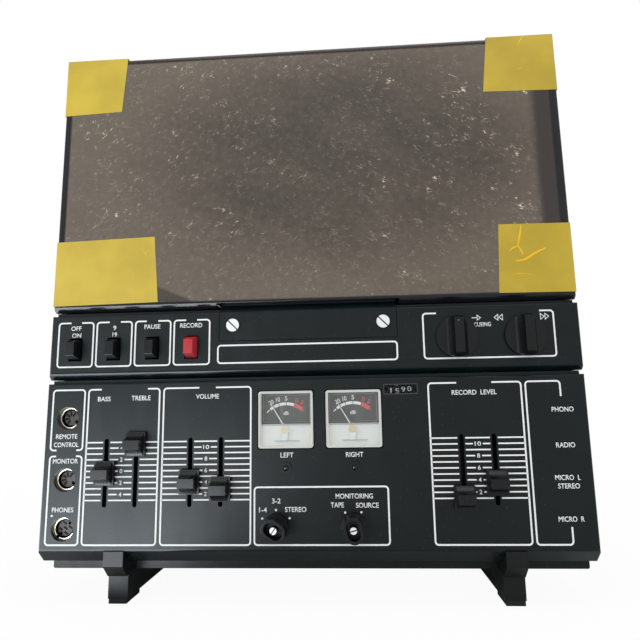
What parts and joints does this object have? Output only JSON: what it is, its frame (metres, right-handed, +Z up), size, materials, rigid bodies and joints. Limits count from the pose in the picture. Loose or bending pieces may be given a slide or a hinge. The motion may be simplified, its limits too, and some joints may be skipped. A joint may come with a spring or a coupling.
{
  "type": "reel-to-reel tape recorder",
  "caption": "Upright reel-to-reel tape recorder with a smoked hinged lid, slider controls, push keys, rotary knobs, level meters and round sockets on runner feet.",
  "frame": {"origin": "middle of the footprint on the floor under the feet", "axes": "+X to the right seen from the front, +Y to the back, +Z up"},
  "size_m": [0.4126, 0.1915, 0.4441],
  "materials": {
    "black_plastic": "satin moulded",
    "panel_plastic": "fine grained",
    "case_plastic": "grained",
    "smoked_lid": "scuffed smoked",
    "red_plastic": "satin",
    "white_plastic": "satin",
    "scale_print": "matt",
    "clear_window": "clear",
    "lens": "clear dark red",
    "deck_paint": "satin black",
    "bare_aluminium": "turned",
    "steel": "brushed",
    "ground_steel": "ground",
    "brass": "turned",
    "rubber": "matt",
    "insulator": "moulded",
    "switch_plastic": "moulded",
    "board": "laminate",
    "core_iron": "varnished",
    "needle_paint": "matt white"
  },
  "bodies": {
    "chassis": {"rear_case": "case_plastic", "back_cover": "case_plastic", "case_screws": "steel", "front_panel": "panel_plastic", "transport_strip": "panel_plastic", "deck_plate": "deck_paint", "head_cover": "panel_plastic", "head_cover_screws": "bare_aluminium", "head_plate": "steel", "tape_heads": "ground_steel", "tape_guides": "ground_steel", "lid_hinges": "steel", "runner_feet": "case_plastic", "foot_pads": "rubber", "slide_controls": "black_plastic", "key_switches": "switch_plastic", "rotary_switches": "switch_plastic", "meter_cases": "white_plastic", "meter_scales": "scale_print", "meter_windows": "clear_window", "lamp_bezels": "black_plastic", "lamp_lenses": "lens", "din_shells": "steel", "din_inserts": "insulator", "counter_frame": "black_plastic", "counter_wheels": "black_plastic", "reel_bearings": "bare_aluminium", "capstan_bearing": "brass", "motor": "steel", "drive_belt": "rubber", "transformer": "core_iron", "circuit_boards": "board", "mains_inlet": "black_plastic"},
    "lid": {"lid": "smoked_lid"},
    "bass_slider": {"bass_slider": "black_plastic"},
    "treble_slider": {"treble_slider": "black_plastic"},
    "volume_left_slider": {"volume_left_slider": "black_plastic"},
    "volume_right_slider": {"volume_right_slider": "black_plastic"},
    "level_left_slider": {"level_left_slider": "black_plastic"},
    "level_right_slider": {"level_right_slider": "black_plastic"},
    "power_key": {"power_key": "black_plastic"},
    "speed_key": {"speed_key": "black_plastic"},
    "pause_key": {"pause_key": "black_plastic"},
    "record_key": {"record_key": "red_plastic"},
    "start_knob": {"start_knob": "black_plastic"},
    "wind_knob": {"wind_knob": "black_plastic"},
    "needle_left": {"needle_left": "needle_paint"},
    "needle_right": {"needle_right": "needle_paint"},
    "counter_unit_wheel": {"counter_unit_wheel": "black_plastic"},
    "supply_table": {"supply_table": "black_plastic"},
    "takeup_table": {"takeup_table": "black_plastic"},
    "pinch_arm": {"pinch_arm": "steel"},
    "pinch_roller": {"pinch_roller": "rubber"},
    "motor_pulley": {"motor_pulley": "brass"},
    "track_knob": {"track_knob": "black_plastic", "track_shaft": "bare_aluminium"},
    "monitor_knob": {"monitor_knob": "black_plastic", "monitor_shaft": "bare_aluminium"},
    "capstan": {"capstan": "ground_steel", "flywheel": "steel"}
  },
  "joints": [
    {"name": "lid_hinge", "type": "hinge", "parent": "chassis", "child": "lid", "pos_m": [0, -0.06295, 0.4339], "axis": [-1, 0, 0], "range_deg": [0, 95]},
    {"name": "bass_slide", "type": "slide", "parent": "chassis", "child": "bass_slider", "axis": [0, 0, 1], "range_m": [-0.02002, 0.02258]},
    {"name": "treble_slide", "type": "slide", "parent": "chassis", "child": "treble_slider", "axis": [0, 0, 1], "range_m": [-0.04132, 0.00128]},
    {"name": "volume_left_slide", "type": "slide", "parent": "chassis", "child": "volume_left_slider", "axis": [0, 0, 1], "range_m": [-0.01321, 0.02939]},
    {"name": "volume_right_slide", "type": "slide", "parent": "chassis", "child": "volume_right_slider", "axis": [0, 0, 1], "range_m": [-0.00809, 0.03451]},
    {"name": "level_left_slide", "type": "slide", "parent": "chassis", "child": "level_left_slider", "axis": [0, 0, 1], "range_m": [-0.00043, 0.04217]},
    {"name": "level_right_slide", "type": "slide", "parent": "chassis", "child": "level_right_slider", "axis": [0, 0, 1], "range_m": [-0.01108, 0.03152]},
    {"name": "power_press", "type": "slide", "parent": "chassis", "child": "power_key", "axis": [0, 1, 0], "range_m": [0, 0.005]},
    {"name": "speed_press", "type": "slide", "parent": "chassis", "child": "speed_key", "axis": [0, 1, 0], "range_m": [0, 0.005]},
    {"name": "pause_press", "type": "slide", "parent": "chassis", "child": "pause_key", "axis": [0, 1, 0], "range_m": [0, 0.005]},
    {"name": "record_press", "type": "slide", "parent": "chassis", "child": "record_key", "axis": [0, 1, 0], "range_m": [0, 0.005], "stiffness_N_per_m": 150},
    {"name": "start_turn", "type": "hinge", "parent": "chassis", "child": "start_knob", "pos_m": [0.1135, -0.07925, 0.1938], "axis": [0, 1, 0], "range_deg": [0, 50]},
    {"name": "wind_turn", "type": "hinge", "parent": "chassis", "child": "wind_knob", "pos_m": [0.1645, -0.07925, 0.1938], "axis": [0, 1, 0], "range_deg": [-50, 50]},
    {"name": "track_turn", "type": "hinge", "parent": "chassis", "child": "track_knob", "pos_m": [-0.025, -0.07925, 0.057], "axis": [0, 1, 0], "range_deg": [0, 112]},
    {"name": "monitor_turn", "type": "hinge", "parent": "chassis", "child": "monitor_knob", "pos_m": [0.0318, -0.07925, 0.057], "axis": [0, 1, 0], "range_deg": [0, 30]},
    {"name": "needle_left_swing", "type": "hinge", "parent": "chassis", "child": "needle_left", "pos_m": [-0.0174, -0.07925, 0.126], "axis": [0, 1, 0], "range_deg": [0, 76], "stiffness_Nm_per_rad": 0.0002},
    {"name": "needle_right_swing", "type": "hinge", "parent": "chassis", "child": "needle_right", "pos_m": [0.0338, -0.07925, 0.126], "axis": [0, 1, 0], "range_deg": [0, 76], "stiffness_Nm_per_rad": 0.0002},
    {"name": "supply_spin", "type": "hinge", "parent": "chassis", "child": "supply_table", "pos_m": [-0.098, -0.07925, 0.3401], "axis": [0, 1, 0], "continuous": true},
    {"name": "takeup_spin", "type": "hinge", "parent": "chassis", "child": "takeup_table", "pos_m": [0.098, -0.07925, 0.3401], "axis": [0, 1, 0], "continuous": true},
    {"name": "capstan_spin", "type": "hinge", "parent": "chassis", "child": "capstan", "pos_m": [0.037, -0.07925, 0.2316], "axis": [0, 1, 0], "continuous": true},
    {"name": "motor_spin", "type": "hinge", "parent": "chassis", "child": "motor_pulley", "pos_m": [-0.04, -0.07925, 0.2651], "axis": [0, 1, 0], "continuous": true},
    {"name": "pinch_swing", "type": "hinge", "parent": "chassis", "child": "pinch_arm", "pos_m": [0.062, -0.07925, 0.2211], "axis": [0, 1, 0], "range_deg": [0, 11.7]},
    {"name": "roller_spin", "type": "hinge", "parent": "pinch_arm", "child": "pinch_roller", "pos_m": [0.0382, -0.07925, 0.2128], "axis": [0, 1, 0], "continuous": true},
    {"name": "counter_spin", "type": "hinge", "parent": "chassis", "child": "counter_unit_wheel", "pos_m": [0.0765, -0.07065, 0.1554], "axis": [1, 0, 0], "continuous": true}
  ],
  "couplings": [
    {"joint": "capstan_spin", "follows": "motor_spin", "ratio": 0.21429},
    {"joint": "pinch_swing", "follows": "start_turn", "ratio": 0.234},
    {"joint": "counter_spin", "follows": "takeup_spin", "ratio": 0.05}
  ]
}
